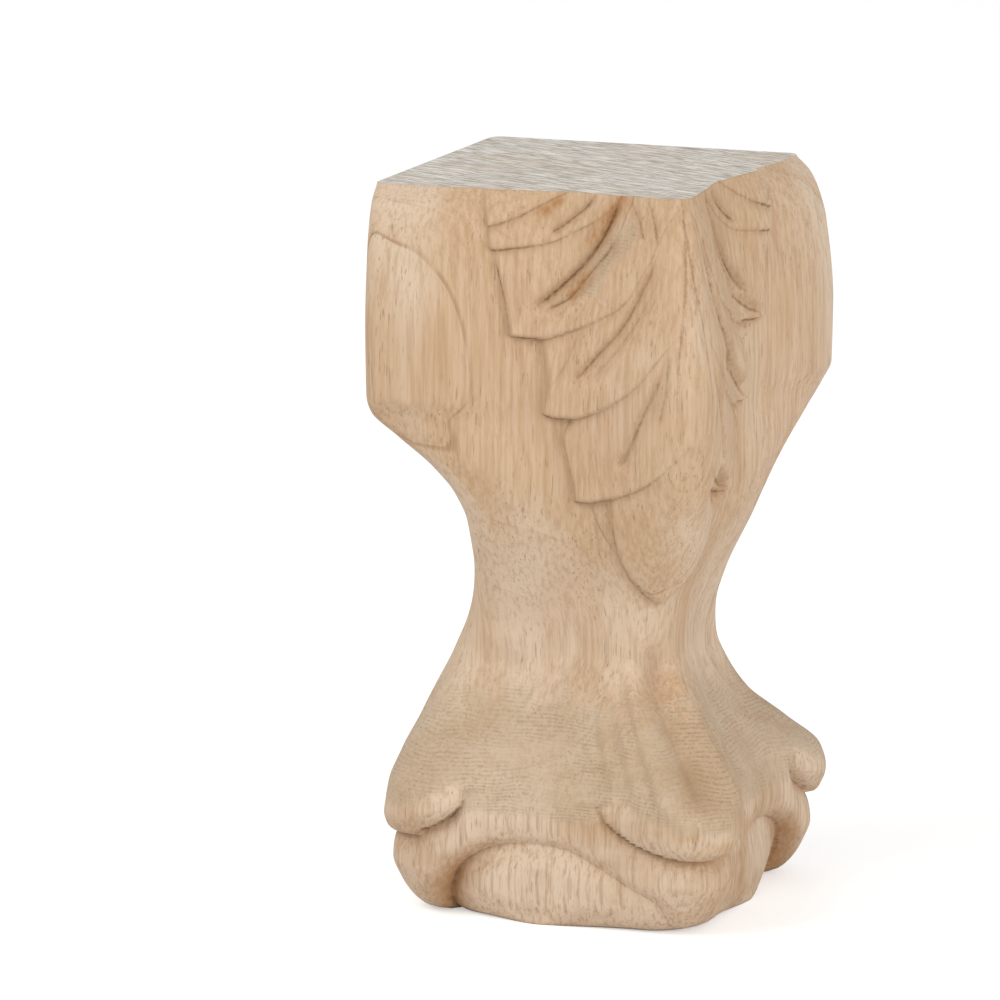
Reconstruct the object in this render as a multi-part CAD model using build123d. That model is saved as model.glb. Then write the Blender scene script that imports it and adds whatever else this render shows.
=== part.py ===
from build123d import *
import os
from collections import namedtuple
from math import ceil, cos, pi, sin

# Carved furniture leg cut from one block of wood, in millimetres, standing on its foot.
# A square post bows out at the knee, thins to an ankle and flares into a foot with four lobes.
# A channel runs down the toe under the front corner.
# The front corner points along +X -Y. Both front faces carry one half of the same leaf, so
# everything is a mirror image across the upright plane through the front and back corners.
# Distances called front and back are measured from the axis of the post's square top.

# Heights, counted up from the floor and then down from the top, with the shank between them
leg_height = 120.0
foot_height = 20.0
flare_rise = 5.9
instep_rise = 6.9
ankle_rise = 9.8
shoulder_drop = 9.4
knee_drop = 13.8
knee_edge_drop = 9.8
knee_base_drop = 3.9
hollow_drop = 8.9
calf_drop = 9.8

# Square top of the post
top_width = 54.4
top_corner_radius = 2.0
top_nose = 26.4
top_ground_depth = 4.8

# Knee: the side corners stand proud of the leaf between them
knee_front = 34.0
knee_back = 26.8
knee_nose = 28.9
knee_ground = 25.9
knee_corner_radius = 4.0
shoulder_front = 32.4
knee_edge_front = 34.3
knee_edge_nose = 29.8
knee_edge_ground = 27.4
knee_base_front = 32.7
knee_base_nose = 29.5
knee_base_ground = 27.2

# Shank, swept forward above the ankle and hollowed behind
hollow_front = 29.7
hollow_nose = 28.2
hollow_ground = 26.0
hollow_back = 17.4
calf_front = 26.4
calf_ground = 24.0
calf_back = 13.1
shank_front = 20.7
shank_back = 14.5
ankle_front = 17.7
ankle_nose = 19.7
ankle_back = 18.4
ankle_corner_radius = 7.0
instep_front = 20.5
instep_nose = 26.6
instep_back = 22.4
flare_front = 26.6
flare_nose = 32.0
flare_back = 23.9

# Foot block
foot_front = 32.4
foot_ground = 31.6
foot_back = 23.8
foot_corner_radius = 8.0
foot_swell_height = 6.0
foot_heel_radius = 14.0

# Lobes that hang over the foot's corners like rolled petals
lobe_front = 36.0
lobe_ground = 31.6
lobe_back = 25.0
lobe_height = 19.0
lobe_lip = 3.5
front_lobe_half_width = 15.5
front_lobe_drop = 9.0
side_lobe_half_width = 11.0
side_lobe_drop = 7.6
lobe_root_depth = 2.0
lobe_shoulder_rise = 4.0
lobe_shoulder_front = 33.2
lobe_shoulder_nose = 34.9
lobe_shoulder_ground = 29.6
lobe_shoulder_back = 24.3

# Channel down the middle of the toe
channel_radius = 4.5
channel_end_radius = 3.0
channel_depth = 2.0
channel_clearance = 0.4

# Arched panels round the bottom of the foot
arch_half_width = 19.7
arch_rise = 13.0
arch_depth = 2.4
panel_sink = 1.0

# Leaf on the front corner: a midrib, and leaflets that lap over each other down to the last one
leaf_thickness = 0.9
leaf_step = 0.55
midrib_share = 0.3
vein_half_width = 1.1
vein_depth = 1.0
end_leaflet_half_width = 9.8
end_leaflet_length = 15.7
end_leaflet_depth = 52.8

# Leaflets and their veins, from the lowest up: distances in from the front corner and down from the top
Leaflet = namedtuple("Leaflet", "tip_reach tip_depth root_depth")
Vein = namedtuple("Vein", "tip_reach tip_depth root_reach root_depth")
leaflets = [
    Leaflet(tip_reach=21.7, tip_depth=50.1, root_depth=34.0),
    Leaflet(tip_reach=26.4, tip_depth=35.5, root_depth=17.3),
    Leaflet(tip_reach=32.3, tip_depth=22.5, root_depth=1.6),
    Leaflet(tip_reach=34.5, tip_depth=8.0, root_depth=-11.2),
]
veins = [
    Vein(tip_reach=13.8, tip_depth=44.4, root_reach=6.3, root_depth=29.1),
    Vein(tip_reach=21.7, tip_depth=30.1, root_reach=5.9, root_depth=6.5),
    Vein(tip_reach=28.5, tip_depth=18.7, root_reach=13.5, root_depth=1.6),
]
leaf_overlap = 3.0

# Flat cuts that follow the curves: how many round each corner, and how tall each one is at most
corner_flats = 4
flat_height = 5.0

# Levels of the outline, from the lowest up
flare_height = foot_height + flare_rise
instep_height = flare_height + instep_rise
ankle_height = instep_height + ankle_rise
shoulder_height = leg_height - shoulder_drop
knee_height = shoulder_height - knee_drop
knee_edge_height = knee_height - knee_edge_drop
knee_base_height = knee_edge_height - knee_base_drop
hollow_height = knee_base_height - hollow_drop
calf_height = hollow_height - calf_drop
shank_height = (ankle_height + calf_height) / 2
Section = namedtuple("Section", "height front nose ground back radius")
top_half = top_width / 2
top_ground = top_half - top_ground_depth
shoulder_nose = (knee_nose + top_nose) / 2
shoulder_ground = (knee_ground + top_ground) / 2
shoulder_radius = (knee_corner_radius + top_corner_radius) / 2
knee_base = Section(
    knee_base_height, knee_base_front, knee_base_nose, knee_base_ground, knee_back, knee_corner_radius
)
post_sections = [
    knee_base,
    Section(
        knee_edge_height, knee_edge_front, knee_edge_nose, knee_edge_ground, knee_back, knee_corner_radius
    ),
    Section(knee_height, knee_front, knee_nose, knee_ground, knee_back, knee_corner_radius),
    Section(shoulder_height, shoulder_front, shoulder_nose, shoulder_ground, knee_back, shoulder_radius),
    Section(leg_height, top_half, top_nose, top_ground, top_half, top_corner_radius),
]
foot_top = Section(foot_height, foot_front, foot_front, foot_ground, foot_back, foot_corner_radius)
flare = Section(flare_height, flare_front, flare_nose, flare_front, flare_back, foot_corner_radius)
instep = Section(instep_height, instep_front, instep_nose, instep_front, instep_back, ankle_corner_radius)
shank_sections = [
    foot_top,
    flare,
    instep,
    Section(ankle_height, ankle_front, ankle_nose, ankle_front, ankle_back, ankle_corner_radius),
    Section(shank_height, shank_front, shank_front, shank_front, shank_back, ankle_corner_radius),
    Section(calf_height, calf_front, calf_front, calf_ground, calf_back, ankle_corner_radius),
    Section(hollow_height, hollow_front, hollow_nose, hollow_ground, hollow_back, knee_corner_radius),
    knee_base,
]
floor_front = foot_front - arch_depth
floor_back = foot_back - arch_depth
foot_sections = [
    Section(0, floor_front, floor_front, floor_front, floor_back, foot_heel_radius),
    foot_top._replace(height=foot_swell_height),
]
lobe_tip = Section(lobe_height, lobe_front, lobe_front, lobe_ground, lobe_back, foot_corner_radius)
lobe_shoulder = Section(
    lobe_height + lobe_shoulder_rise,
    lobe_shoulder_front,
    lobe_shoulder_nose,
    lobe_shoulder_ground,
    lobe_shoulder_back,
    foot_corner_radius,
)
lobe_front_root = foot_front - lobe_root_depth
lobe_back_root = foot_back - lobe_root_depth
instep_front_root = instep_front - lobe_root_depth
instep_nose_root = instep_nose - lobe_root_depth
instep_back_root = instep_back - lobe_root_depth
lobe_sections = [
    foot_top._replace(
        height=lobe_height - 2 * lobe_lip,
        front=lobe_front_root,
        nose=lobe_front_root,
        ground=lobe_front_root,
        back=lobe_back_root,
    ),
    lobe_tip._replace(height=lobe_height - lobe_lip),
    lobe_tip,
    lobe_shoulder,
    instep._replace(
        front=instep_front_root, nose=instep_nose_root, ground=instep_front_root, back=instep_back_root
    ),
]

mirror_plane = Plane(origin=(0, 0, 0), x_dir=(1, -1, 0), z_dir=(1, 1, 0))
foot_middle = (foot_front - foot_back) / 2
foot_axis = Axis((foot_middle, -foot_middle, 0), (0, 0, 1))


def across(points):
    """The same points in turn on the other side of the plane through the front and back corners."""
    return [(-y, -x) for x, y in reversed(points)]


def rounded(corner, start, end, radius):
    """Points round a corner, from its start side to its end side, on a quarter of a circle."""
    points = []
    for step in range(corner_flats + 1):
        angle = step / corner_flats * pi / 2
        along_start = radius * (1 - sin(angle))
        along_end = radius * (1 - cos(angle))
        x = corner[0] + along_start * start[0] + along_end * end[0]
        y = corner[1] + along_start * start[1] + along_end * end[1]
        points.append((x, y))
    return points


def outline(section):
    """One level's closed outline: four rounded corners, two curved front faces and two flat back faces."""
    back, front, nose, radius = section.back, section.front, section.nose, section.radius
    side = rounded((-back, -front), (0, 1), (1, 0), radius)
    tip = rounded((nose, -nose), (-1, 0), (0, 1), radius)
    other_side = across(side)
    heel = rounded((-back, back), (1, 0), (0, -1), radius)
    ground = ((nose - back) / 2, -section.ground)
    other_ground = across([ground])[0]
    lines = [
        Polyline(side),
        Spline(side[-1], ground, tip[0], tangents=[(1, 0), (1, 0)]),
        Polyline(tip),
        Spline(tip[-1], other_ground, other_side[0], tangents=[(0, 1), (0, 1)]),
        Polyline(other_side + heel + side[:1]),
    ]
    wire = Wire([edge for line in lines for edge in line.edges()])
    return Pos(0, 0, section.height) * Face(wire)


def between(sections, lower, height):
    """The level at a height above the given lower one, on smooth curves through all the levels."""
    low, high = sections[lower], sections[lower + 1]
    below = sections[max(lower - 1, 0)]
    above = sections[min(lower + 2, len(sections) - 1)]
    gap = high.height - low.height
    rise = (height - low.height) / gap
    values = []
    for a, b, c, d in zip(below, low, high, above):
        low_slope = (c - a) * gap / (high.height - below.height)
        high_slope = (d - b) * gap / (above.height - low.height)
        bend = 3 * (c - b) - 2 * low_slope - high_slope
        twist = low_slope + high_slope - 2 * (c - b)
        values.append(b + rise * (low_slope + rise * (bend + rise * twist)))
    return Section(*values)


def curved(sections):
    """The given levels with more between them, so that flat cuts follow a smooth curve."""
    levels = []
    for lower, (low, high) in enumerate(zip(sections, sections[1:])):
        count = ceil((high.height - low.height) / flat_height)
        for step in range(count):
            height = low.height + step / count * (high.height - low.height)
            levels.append(between(sections, lower, height))
    return levels + sections[-1:]


def body(sections):
    """A solid through the given levels."""
    return loft([outline(section) for section in sections], ruled=True)


def carved_body(relief):
    """The leg from its ankle up, with the leaf's ground raised by the relief."""
    rib = midrib_share * relief
    levels = [level for level in leg_levels if level.height >= ankle_height]
    return body([level._replace(nose=level.nose + rib, ground=level.ground + relief) for level in levels])


def arched(leg):
    """The leg with a swollen panel sunk into an arch on each face of its foot."""
    swell_radius = arch_half_width**2 / (2 * arch_depth) + arch_depth / 2
    upper_half = Pos(0, arch_rise) * Rectangle(2 * arch_half_width, 2 * arch_rise)
    arch_plane = Plane((foot_middle, -foot_front + 2 * arch_depth, 0), x_dir=(1, 0, 0), z_dir=(0, -1, 0))
    space = extrude(arch_plane * (Ellipse(arch_half_width, arch_rise) & upper_half), 3 * arch_depth)
    panel = space & (Pos(foot_middle, swell_radius + panel_sink - foot_front, 0) * Sphere(swell_radius))
    for turn in range(4):
        leg = leg - space.rotate(foot_axis, 90 * turn) + panel.rotate(foot_axis, 90 * turn)
    return leg


def lobe(corner, half_width, drop):
    """The part of a wider flare that lies inside an oval, seen from one corner of the foot."""
    oval_plane = Plane(
        (foot_middle, -foot_middle, lobe_height + lobe_lip),
        x_dir=(-corner[1], corner[0], 0),
        z_dir=(corner[0], corner[1], 0),
    )
    return body(lobe_sections) & extrude(oval_plane * Ellipse(half_width, drop), 2 * lobe_front)


def channel():
    """The space of the channel, which narrows upwards and comes out of the surface above the ankle."""
    rings = []
    for level in leg_levels:
        if flare_height <= level.height <= shank_height:
            share = (shank_height - level.height) / (shank_height - flare_height)
            radius = channel_end_radius + share * (channel_radius - channel_end_radius)
            depth = share * channel_depth - (1 - share) * channel_clearance
            place = level.nose - level.radius * (1 - cos(pi / 4)) + radius - depth
            rings.append((Vector(place, -place, level.height), radius))
    lowest, highest = rings[0][0], rings[-1][0]
    circles = [Plane(centre, z_dir=highest - lowest) * Circle(radius) for centre, radius in rings]
    return loft(circles, ruled=True) + Pos(lowest) * Sphere(channel_radius)


def front_view(sketch):
    """The sketch, drawn as a distance in from the front corner and a height, cut through the front face."""
    view = Plane((knee_nose, -lobe_front, 0), x_dir=(-1, 0, 0), z_dir=(0, 1, 0))
    return extrude(view * sketch, lobe_front)


def leaflet_outline(leaflet):
    """All of the front face above the leaflet's lower edge, a quarter of an ellipse from root to tip."""
    width = leaflet.tip_reach + leaf_overlap
    rise = leaflet.tip_depth - leaflet.root_depth
    quarter = Ellipse(width, rise) & Pos(-width / 2, -rise / 2) * Rectangle(width, rise)
    upper = Pos(-width / 2, leg_height / 2) * Rectangle(width, leg_height)
    return Pos(leaflet.tip_reach, leg_height - leaflet.root_depth) * (quarter + upper)


def vein_outline(vein):
    """A slender lens from the vein's tip to its root."""
    tip = Vector(vein.tip_reach, leg_height - vein.tip_depth)
    root = Vector(vein.root_reach, leg_height - vein.root_depth)
    side = (root - tip).normalized().rotate(Axis.Z, 90) * vein_half_width
    middle = (tip + root) / 2
    return make_face([ThreePointArc(tip, middle + side, root), ThreePointArc(root, middle - side, tip)])


def leaf_half():
    """The leaflets on the left front face, each standing a step prouder than the one below it."""
    end_oval = Ellipse(end_leaflet_half_width, end_leaflet_length)
    end_outline = Pos(0, leg_height - end_leaflet_depth) * end_oval
    half = [front_view(end_outline) & carved_body(leaf_thickness)]
    for level, leaflet in enumerate(leaflets, start=1):
        half.append(front_view(leaflet_outline(leaflet)) & carved_body(leaf_thickness + level * leaf_step))
    return half


def vein_half():
    """The grooves along the leaflets on the left front face."""
    grooves = []
    for level, vein in enumerate(veins, start=1):
        floor = carved_body(leaf_thickness + level * leaf_step - vein_depth)
        grooves.append(front_view(vein_outline(vein)) - floor)
    return grooves


leg_levels = foot_sections + curved(shank_sections)[:-1] + curved(post_sections)
leg = arched(body(leg_levels))
lobes = [lobe((1, -1), front_lobe_half_width, front_lobe_drop)]
for corner in ((-1, -1), (1, 1), (-1, 1)):
    lobes.append(lobe(corner, side_lobe_half_width, side_lobe_drop))
leg += lobes
leg -= channel()
left_half = leaf_half()
leg += left_half + [mirror(leaflet, mirror_plane) for leaflet in left_half]
left_veins = vein_half()
leg -= left_veins + [mirror(vein, mirror_plane) for vein in left_veins]

# The origin is on the floor, in the middle of the leg's outline seen from above
box = leg.bounding_box()
leg = Pos(-box.center().X, -box.center().Y, -box.min.Z) * leg

os.makedirs("parts", exist_ok=True)
export_step(leg, "parts/carved_leg.step")
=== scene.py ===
import math
from collections import namedtuple

import bpy
import numpy as np
from mathutils import Matrix, Vector


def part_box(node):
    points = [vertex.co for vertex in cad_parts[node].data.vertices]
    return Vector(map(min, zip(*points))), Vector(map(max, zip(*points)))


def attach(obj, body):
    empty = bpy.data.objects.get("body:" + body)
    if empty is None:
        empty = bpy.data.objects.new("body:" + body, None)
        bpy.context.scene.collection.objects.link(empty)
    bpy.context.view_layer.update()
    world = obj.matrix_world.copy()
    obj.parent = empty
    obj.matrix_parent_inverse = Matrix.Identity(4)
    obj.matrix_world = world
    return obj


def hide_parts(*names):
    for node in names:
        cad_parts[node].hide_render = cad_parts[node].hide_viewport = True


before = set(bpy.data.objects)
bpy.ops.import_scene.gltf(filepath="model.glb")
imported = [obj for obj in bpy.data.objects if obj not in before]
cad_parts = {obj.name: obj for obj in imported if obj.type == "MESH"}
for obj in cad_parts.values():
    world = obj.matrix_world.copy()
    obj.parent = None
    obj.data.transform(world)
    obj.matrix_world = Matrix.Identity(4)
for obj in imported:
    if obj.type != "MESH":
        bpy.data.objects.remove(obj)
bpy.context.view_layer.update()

# Carved furniture leg. All sizes in this file are millimetres, and MM turns them into the scene's metres.
# Shapes are drawn about the axis of the post's square top, with the carved front corner along +X -Y.
# Both halves are drawn as the left one, and the right one is mirrored across the plane x + y = 0.
# They have the same form, but not the same fine cuts. The drawing is scaled to the leg's height at the end.
MM = 0.001
LEG_HEIGHT = 120.0
DRAWN_FLOOR = -1.3
DRAWN_TOP = 120.2
SCALE = LEG_HEIGHT / (DRAWN_TOP - DRAWN_FLOOR)
TOP_HALF = 27.6
low_corner, high_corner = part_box("carved_leg")
AXIS = Vector((low_corner.x / MM + TOP_HALF * SCALE, high_corner.y / MM - TOP_HALF * SCALE, 0.0))

# A pair such as ARCH_FADE, of heights, distances or shares, is where a smooth step is 0 and where it is 1.

# Profiles: height above the floor, then distance from the post's axis. Front is at the side corners, nose at
# the front corner, ground in the middle of each front face, and back on the two plain faces.
FRONT = [
    (0, 35.2), (14, 35.2), (17.5, 35.9), (21, 34.9), (25, 29.2), (30, 22.2), (35, 19.3), (40, 18.0),
    (46, 18.8), (52, 21.0), (64, 26.8), (74, 30.2), (82.5, 32.9), (86, 34.4), (96, 34.5), (110, 33.0),
    (114.5, 31.6), (117.6, 29.9), (120, 27.3),
]
NOSE = [
    (0, 36.0), (14, 36.0), (18, 36.3), (21, 36.0), (24, 34.2), (28, 30.0), (33, 25.6), (38, 21.8),
    (43, 20.2), (51, 20.8), (60, 24.4), (70, 28.0), (80, 30.0), (88, 30.4), (95, 29.6), (104, 28.3),
    (112, 26.9), (120, 25.2),
]
GROUND = [
    (0, 30.6), (3, 31.5), (8, 32.0), (12, 32.0), (16, 31.8), (19, 31.2), (23, 29.0), (27, 25.8),
    (32, 21.8), (36, 19.6), (42, 18.4), (52, 20.6), (64, 24.6), (74, 26.6), (83, 27.8), (87, 27.8),
    (97, 26.6), (111, 24.4), (120, 22.8),
]
BACK = [
    (0, 25.3), (15, 25.3), (18, 24.8), (21, 24.6), (25, 24.5), (30, 23.6), (40, 19.5), (46, 16.7),
    (52, 14.7), (58, 13.6), (64, 13.3), (69, 14.6), (74, 18.0), (79, 23.3), (83.0, 27.2), (84.5, 27.4),
    (97, 27.4), (110, 27.4), (120, 27.6),
]
BACK_GROUND = [(0, 23.0), (6, 24.0), (20, 24.1), (25, 24.3), (30, 23.6)]

# Foot block under the skirt, at its front corners, at its back corners and on its back panels
BLOCK_FRONT = [
    (DRAWN_FLOOR, 27.5), (-0.4, 29.4), (1.5, 31.0), (4.5, 32.4), (8, 33.4), (12, 33.2), (22, 32.5),
]
BLOCK_BACK = [
    (DRAWN_FLOOR, 19.4), (-0.4, 21.0), (1.5, 22.4), (4.5, 23.7), (8, 24.6), (12, 24.6), (22, 24.2),
]
BLOCK_GROUND = 23.0

# Radius of the corners, and how far a face's swell reaches from the side corner (ear) and the nose (rib)
CORNER_RADIUS = [(0, 8), (13, 7.5), (52, 7), (70, 5.5), (83, 4), (110, 3), (120, 2)]
EAR_WIDTH = [(0, 15), (32, 15), (52, 20), (75, 22), (90, 27), (120, 36)]
EAR_FLAT = 0.12
RIB_WIDTH = [(0, 21), (32, 21), (52, 16), (75, 22), (97, 26), (120, 22)]

# Lobes of the foot: reach along the face from the corner, height where the edge starts, and how far it dips
Lobe = namedtuple("Lobe", "reach top dip")
FRONT_LOBE = Lobe(21.0, 21.0, 8.7)
SIDE_LOBE = Lobe(15.0, 20.8, 8.0)
LIP_RADIUS = 3.0
RECESS_DEPTH = 1.2
RECESS_FALL = 1.6
# How dark the line of shade painted under each lobe's lip is, and the heights over which it fades out
LOBE_LINE_SHADE = 0.6
LOBE_LINE_SHADE_FADE = (30, 26)
RIM_ON_LOBE = 3.5
RIM_TOP = 15.5

# Arch on each face of the foot: x and height along its crease. Its depth, the darkness of the shade painted
# along its crease and the width of the rim go by the share of the way from its left end, which is hollowed
# out.
ARCH = [
    (-14.3, -1.8), (-13.6, 3.0), (-12.2, 6.4), (-9.6, 9.2), (-4.7, 11.5), (2.0, 12.4), (7.5, 11.9),
    (13.0, 9.7), (18.6, 7.0), (24.0, 4.0), (25.9, -1.8),
]
ARCH_DEPTH = [(0.0, 4.2), (0.15, 4.2), (0.3, 3.2), (0.5, 1.9), (0.8, 1.2), (1.0, 0.5)]
ARCH_LINE_SHADE = [(0.0, 0.8), (0.3, 0.6), (0.5, 0.3), (0.7, 0.4), (0.9, 0.5), (1.0, 0.2)]
ARCH_FADE = (20, 15)
RIM_FALL = [(0.0, 0.9), (0.3, 1.1), (0.5, 1.4), (1.0, 1.4)]
PANEL_FALL_LEFT = 3.4
PANEL_FALL_RIGHT = 11.0
# Shade is painted in the hollow left end of the arch: where it fades along the arch, and how far it reaches
HOLLOW_FADE = (0.45, 0.2)
HOLLOW_ON_PANEL = 3.2
HOLLOW_ON_RIM = 2.2

# Leaf on the front corner, as x across the left front face and height. A leaflet's lower edge runs from its
# tip to the midrib. Its border goes up from its tip, as height and x.
# The last number of each leaflet is how dark the line of shade painted along its border is
Leaflet = namedtuple("Leaflet", "edge border lift border_ink")
LEAFLETS = [
    Leaflet(
        [(20.6, 50.8), (24, 50.6)],
        [(50.8, 21.4), (52, 19.2), (54.5, 17.1), (57.5, 15.5), (62.5, 14.1), (69, 13.9)],
        0.75, 0.6,
    ),
    Leaflet(
        [(7.4, 69.6), (10, 69.7), (13, 70.4), (17.8, 72.1), (21.9, 74.5), (25.6, 77.8), (28, 80.6)],
        [(69.5, 7.7), (72.7, 7.4), (76.1, 6.6), (80.2, 6.0), (83, 7.5)],
        1.0, 0.35,
    ),
    Leaflet(
        [(2.4, 84.0), (4.6, 83.6), (7.5, 83.7), (11.6, 85), (15.6, 87.2), (19.6, 90.4), (22.2, 93.8),
         (24.9, 97.1), (28, 101)],
        [(83.5, 2.6), (88.2, 3.2), (92.5, 2.7), (96, 2.0)],
        1.15, 0.25,
    ),
    Leaflet(
        [(-3.0, 96.7), (-1.8, 96.6), (1.9, 96.3), (4.9, 97.2), (8.8, 98.7), (12.2, 100.4), (14.8, 101.8),
         (17.1, 104), (18.7, 106.8), (20.7, 110.6), (21.5, 112.7), (24, 118), (28, 126)],
        [(96.4, -3.0), (98.8, -3.2), (104.5, -4.3), (110.6, -5.9)],
        0.9, 0.9,
    ),
    Leaflet(
        [(-6.3, 110.8), (-2.3, 111.2), (2.2, 111.9), (6.6, 113.9), (9.9, 115.7), (12.7, 117.8),
         (14.3, 119.8), (18, 124)],
        [(110.5, -6.3), (114, -6.9), (120, -8.0)],
        0.65, 0.2,
    ),
    Leaflet(
        [(-6.9, 114.5), (-2.6, 116.1), (1.6, 118.4), (4.9, 120.2), (8, 122.2)],
        [(114, -7.0), (120, -8.5)],
        0.5, 0.2,
    ),
]
MIDRIB = [(80, 26.2), (94, 26.4), (104, 26.6), (110.6, 26.2), (119.5, 25.0)]
MIDRIB_DEPTH = 0.3
MIDRIB_WIDTH = 0.7
MIDRIB_START = (70, 78)
LEAF_THICKNESS = 0.7
LEAF_START = (49.5, 51.5)
LEAFLET_FALL = 9.0
LEAFLET_ROOT = 26.5
LEAFLET_THINNING = 0.85
EDGE_SOFTNESS = 0.34
BORDER_SOFTNESS = 0.6

# A gouge runs from its tip to its root, and its walls have one width above it and one below. The scoops are
# on the right half of the leaf only, and the veins on the left half.
# The last number of each gouge is how dark the shade painted in it and along it is
Gouge = namedtuple("Gouge", "path depth above below ink")
GOUGES = [
    Gouge([(2.6, 113.2), (5.6, 115.4), (8.4, 117.8), (10.6, 120.5)], 0.7, 0.4, 0.8, 0.8),
    Gouge(
        [(-0.1, 100.7), (4.6, 104.8), (8.9, 109.2), (11.5, 112.9), (13.6, 117.6), (14.4, 120)],
        1.3, 0.4, 1.1, 1.0,
    ),
    Gouge([(2.0, 100.7), (6.4, 103.1), (8.9, 106.2), (13.2, 111.4), (14.8, 114.0)], 0.8, 0.4, 1.1, 0.7),
    Gouge(
        [(7.6, 89.3), (11.3, 93.6), (16.2, 99.2), (18.8, 104.1), (20.8, 108.5), (23, 114.5)],
        1.0, 0.4, 1.2, 0.6,
    ),
    Gouge([(10.3, 89.3), (16.4, 96.6), (20, 102.6), (22.5, 108)], 0.6, 0.4, 1.0, 0.35),
    Gouge([(15.8, 75.8), (17.8, 79.3), (19.7, 83.8), (22.9, 90.6), (24.5, 96)], 0.9, 0.5, 1.4, 0.6),
]
SCOOPS = [
    Gouge([(-2.4, 97.4), (2.5, 100.5), (8, 104.2)], 1.8, 1.0, 5.0, 0.75),
    Gouge([(2.1, 84.4), (7, 88.5), (13, 93), (17, 95.5)], 2.1, 1.0, 6.0, 0.9),
    Gouge([(9.6, 70.2), (15, 72.8), (20, 76.5)], 2.0, 1.0, 5.0, 1.0),
]
VEINS = [
    Gouge([(19.2, 113.4), (18.4, 115.8), (16.0, 120.4)], 0.25, 0.4, 0.5, 0.8),
    Gouge([(21.8, 112.6), (21.0, 116), (19.3, 120.4)], 0.2, 0.4, 0.5, 0.6),
    Gouge([(23.3, 83.5), (24.4, 90), (24.9, 97)], 0.2, 0.4, 0.6, 0.5),
]
GOUGE_TIP = (0.0, 0.1)
GOUGE_ROOT = (0.7, 1.0)

# Painted shade: thin dark lines where shade falls in the cuts, by their kind, and the shade painted beside
# them.
# Where an edge's line starts and turns pale is measured from the leaflet's tip.
LINES = ("edge", "gouge", "border", "vein")
LINE_REACH = 2.0
LINE_OFFSET = 0.2
LINES_OF_LEAF = 45.0
EDGE_LINE_SHADE_START = (-0.6, 0.4)
EDGE_LINE_SHADE_PALE = (2, 8)
EDGE_LINE_SHADE_PALING = 0.55
EDGE_LINE_SHADE_END = (28, 20)
BORDER_LINE_SHADE_START = (-0.4, 0.4)
BORDER_LINE_SHADE_END = (-4, 0)
MIDRIB_LINE_SHADE = 0.6
MIDRIB_LINE_SHADE_START = (80, 95)
LEAFLET_SHADE = 0.5
EDGE_SHADE_OFFSET = 0.5
EDGE_SHADE_WIDTH = 0.6
BORDER_SHADE_OFFSET = 0.6
BORDER_SHADE_WIDTH = 0.7
GOUGE_SHADE = 0.62
GOUGE_SHADE_ABOVE = 1.1
GOUGE_SHADE_BELOW = 0.6

# Scorched and rough patches on the left half of the leaf: the middle of each patch and its half width
SCORCHED = [
    ([(1.3, 116.8), (3.9, 118.6)], 0.9),
    ([(7.0, 104.0), (9.3, 106.6)], 1.1),
    ([(9.8, 112.8), (12.5, 116.3), (14.8, 119.7)], 1.2),
]
ROUGHENED = ([(9.6, 105.2), (12.8, 109.8), (16.3, 115.0)], 2.2)

# Channel down the front of the toe, with a pocket at its foot. A ridge and ripples fan out beside it, at
# offsets that hold where the nose is FAN_NOSE out. The channel's right wall is hatched.
FAN_NOSE = 30.0
CHANNEL_DEPTH = 3.4
CHANNEL_WIDTH = 3.5
CHANNEL_END = (47, 38)
CHANNEL_START = (19.0, 23.5)
CHANNEL_SHADE = 0.3
POCKET_DEPTH = 0.8
POCKET_HEIGHT = 24.5
POCKET_LENGTH = 3.0
POCKET_SHADE = 0.45
RIDGE_HEIGHT = 1.0
RIDGE_OFFSET = 6.3
RIDGE_WIDTH = 1.7
RIDGE_FADE = (52, 34)
RIPPLE_HEIGHT = 0.28
RIPPLE_STEP = 4.4
RIPPLE_START = (7, 9)
RIPPLE_END = (15, 19)
RIPPLE_FADE = (38, 30)
WALL_START = (0.3, 2.0)
WALL_END = (6.0, 7.5)
WALL_FADE = (42, 31)

# How strongly the foot is painted with brown shade in its recesses, crease and hollow, shaded and tooled, and
# how the wood's tone changes over the leg
TOE_REACH = 8.0
TOE_BROWN_SHADE = 0.9
RECESS_BROWN_SHADE = 0.5
RECESS_SHADE = 0.45
RECESS_HATCH = 0.7
CREASE_BROWN_SHADE = 0.6
CREASE_BROWN_SHADE_FALL = 0.9
HOLLOW_BROWN_SHADE = 0.75
HOLLOW_SHADE = 0.75
TOOLED_TOP = 41.0
TOOLED_FADE = 11.0
TOOLED_START = (0.0, 3.5)
TONE_ACROSS_START = (-22, -12)
TONE_UP_START = (52, 74)
TONE_FOOT = 0.7
TONE_FOOT_FADE = (17, 11)

# Grid: columns round half of the outline, from the back corner to the front corner, and rows up the leg, as
# height and step. Columns crowd together toward the nose.
HEEL, BACK_FACE, SIDE, FRONT_FACE, TIP = range(5)
COLUMNS = [(HEEL, 4), (BACK_FACE, 36), (SIDE, 12), (FRONT_FACE, 126), (TIP, 9)]
CROWDING = 0.38
ROW_STEPS = [(0, 0.45), (30, 0.45), (36, 0.9), (48, 0.9), (54, 0.42), (120, 0.42)]
PATH_SAMPLES = 90
NUDGE = 0.1
FAR = 1e3


def smooth(start, end, value):
    """A smooth step from 0 at the start to 1 at the end."""
    t = np.clip((value - start) / (end - start), 0.0, 1.0)
    return t * t * (3.0 - 2.0 * t)


def hump(distance, width):
    """A smooth hump: 1 at no distance, and nearly 0 from twice the width."""
    return np.exp(-((distance / width) ** 2))


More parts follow.
